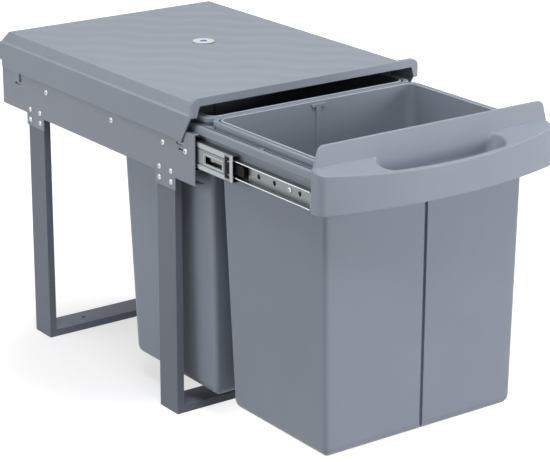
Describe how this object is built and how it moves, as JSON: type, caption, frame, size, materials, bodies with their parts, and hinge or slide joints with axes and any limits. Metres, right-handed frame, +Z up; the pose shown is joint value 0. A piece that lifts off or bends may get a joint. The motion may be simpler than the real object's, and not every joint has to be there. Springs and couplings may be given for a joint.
{
  "type": "built-in recycling bin",
  "caption": "Pull-out waste sorting unit for a base cabinet: tubs with a bowed front panel run on telescopic ball slides out of a steel chassis with a fixed lid.",
  "frame": {"origin": "on the floor, in the middle of the four floor screw holes of the two base bars", "axes": "+X right seen from the front, +Y towards the back of the cabinet, +Z up; the tubs run out along -Y"},
  "size_m": [0.35, 0.761, 0.4259],
  "materials": {
    "leg_paint": "smooth grey powder coat",
    "plate_paint": "smooth grey powder coat",
    "zinc": "bright zinc plate",
    "steel_balls": "polished",
    "cage_plastic": "natural moulded",
    "black_plastic": "moulded, satin",
    "lid_plastic": "moulded grey, fine wave relief",
    "carrier_plastic": "moulded grey, satin",
    "bin_plastic": "moulded grey, satin",
    "panel_plastic": "moulded grey, satin"
  },
  "bodies": {
    "chassis": {"front_leg_left": "leg_paint", "front_leg_right": "leg_paint", "rear_leg_left": "leg_paint", "rear_leg_right": "leg_paint", "front_base_bar": "leg_paint", "rear_base_bar": "leg_paint", "side_plate_left": "plate_paint", "side_plate_right": "plate_paint", "leg_rivets": "zinc", "slide_screws": "zinc", "lid": "lid_plastic", "outer_member_left": "zinc", "outer_member_right": "zinc"},
    "outer_cages": {"outer_cage_left": "cage_plastic", "outer_cage_right": "cage_plastic", "outer_balls": "steel_balls"},
    "middle_members": {"middle_member_left": "zinc", "middle_member_right": "zinc", "middle_bumper_left": "black_plastic", "middle_bumper_right": "black_plastic"},
    "inner_cages": {"inner_cage_left": "cage_plastic", "inner_cage_right": "cage_plastic", "inner_balls": "steel_balls"},
    "pull_out": {"carrier_frame": "carrier_plastic", "front_panel": "panel_plastic", "panel_screws": "zinc", "inner_member_left": "zinc", "inner_member_right": "zinc", "inner_screws": "zinc", "lever_pins": "zinc", "front_bin": "bin_plastic", "rear_bin": "bin_plastic"},
    "release_lever_left": {"release_lever_left": "black_plastic"},
    "release_lever_right": {"release_lever_right": "black_plastic"}
  },
  "joints": [
    {"name": "pull_out_run", "type": "slide", "parent": "chassis", "child": "pull_out", "axis": [0, -1, 0], "range_m": [-0.233, 0.207]},
    {"name": "middle_run", "type": "slide", "parent": "chassis", "child": "middle_members", "axis": [0, -1, 0], "range_m": [-0.07739, 0.06881]},
    {"name": "outer_cage_run", "type": "slide", "parent": "chassis", "child": "outer_cages", "axis": [0, -1, 0], "range_m": [-0.03895, 0.03465]},
    {"name": "inner_cage_run", "type": "slide", "parent": "chassis", "child": "inner_cages", "axis": [0, -1, 0], "range_m": [-0.15545, 0.13816]},
    {"name": "release_left", "type": "hinge", "parent": "pull_out", "child": "release_lever_left", "pos_m": [-0.1614, -0.255, 0.356], "axis": [1, 0, 0], "range_deg": [-2.5, 2.5], "stiffness_Nm_per_rad": 0.3},
    {"name": "release_right", "type": "hinge", "parent": "pull_out", "child": "release_lever_right", "pos_m": [0.1614, -0.255, 0.356], "axis": [1, 0, 0], "range_deg": [-2.5, 2.5], "stiffness_Nm_per_rad": 0.3}
  ],
  "couplings": [
    {"joint": "middle_run", "follows": "pull_out_run", "ratio": 0.33},
    {"joint": "outer_cage_run", "follows": "pull_out_run", "ratio": 0.165},
    {"joint": "inner_cage_run", "follows": "pull_out_run", "ratio": 0.665}
  ]
}
